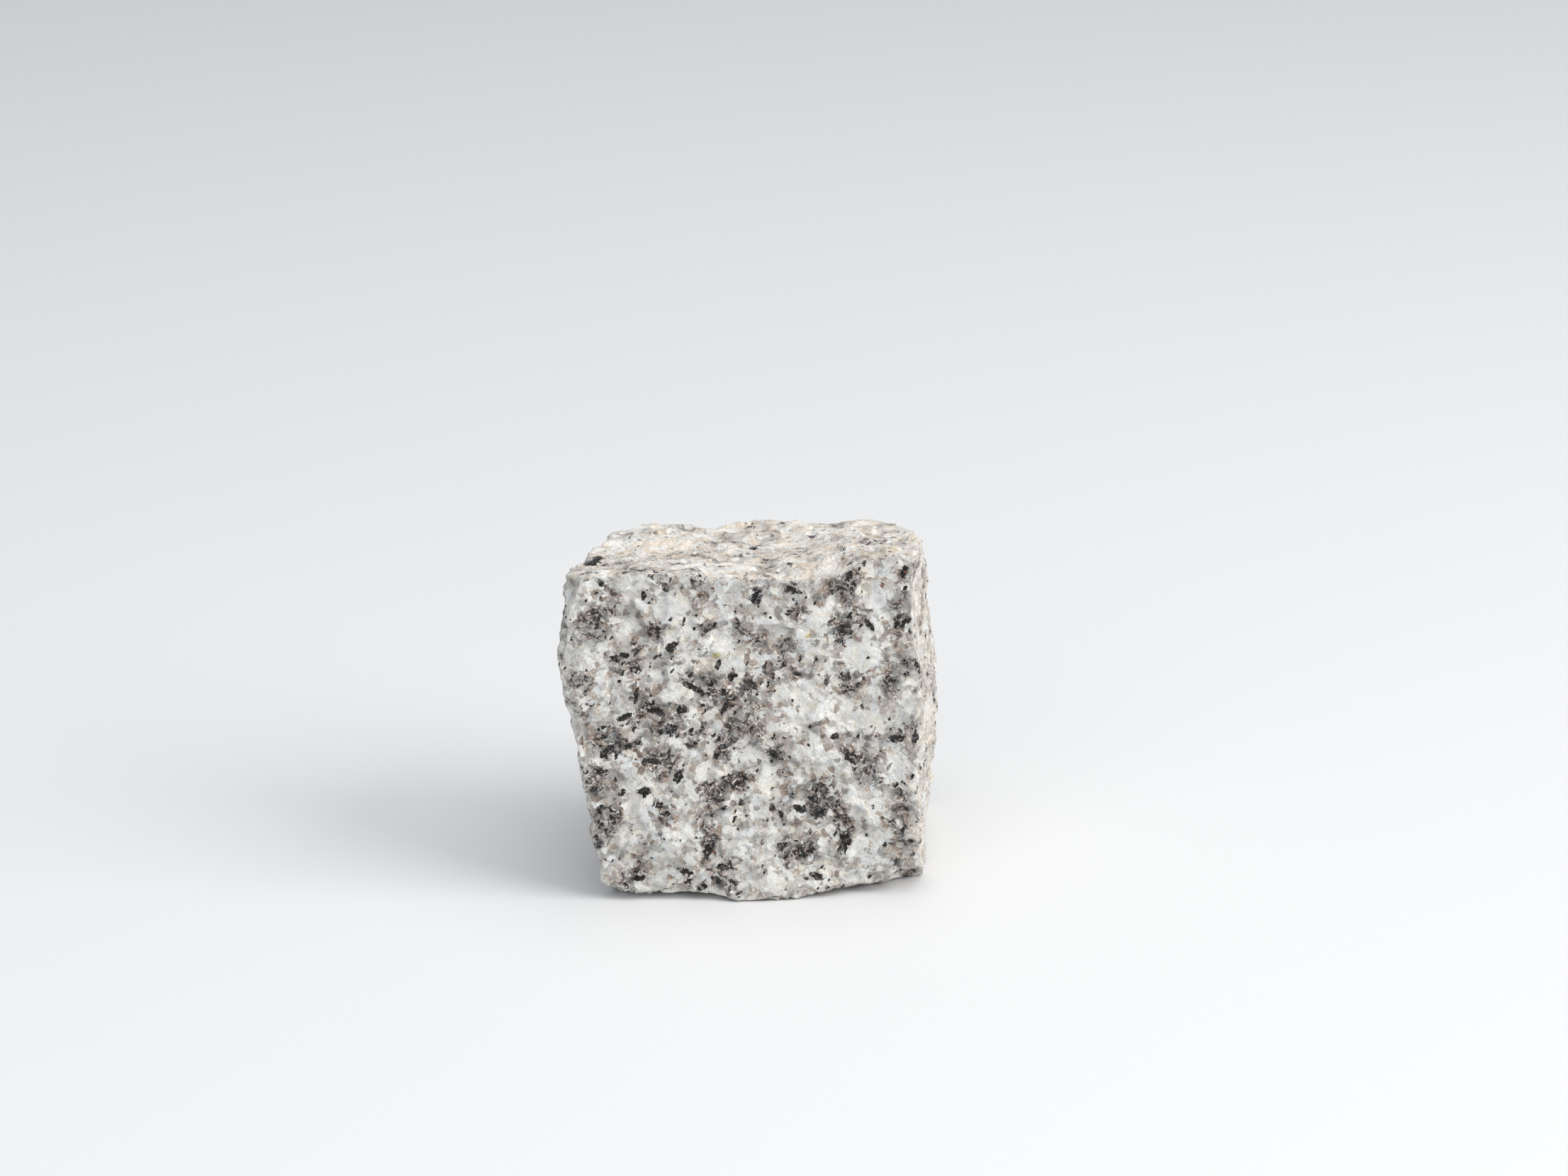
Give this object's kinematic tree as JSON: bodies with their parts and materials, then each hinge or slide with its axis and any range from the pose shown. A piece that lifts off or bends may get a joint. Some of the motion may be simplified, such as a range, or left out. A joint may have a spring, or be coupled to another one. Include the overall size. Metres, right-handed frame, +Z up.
{
  "type": "granite sett",
  "caption": "Small paving block of light grey granite, split on every side, with a flat bed to stand on.",
  "frame": {"origin": "on the bed, under the middle of the block", "axes": "+Z up from the bed to the head, -Y out of the front face, +X to the right of someone who faces the front"},
  "size_m": [0.0692, 0.0534, 0.0656],
  "materials": {
    "granite": "split face of light grey granite with white feldspar, brown-grey quartz and black mica grains"
  },
  "bodies": {
    "root": {"granite_sett": "granite"}
  },
  "joints": []
}
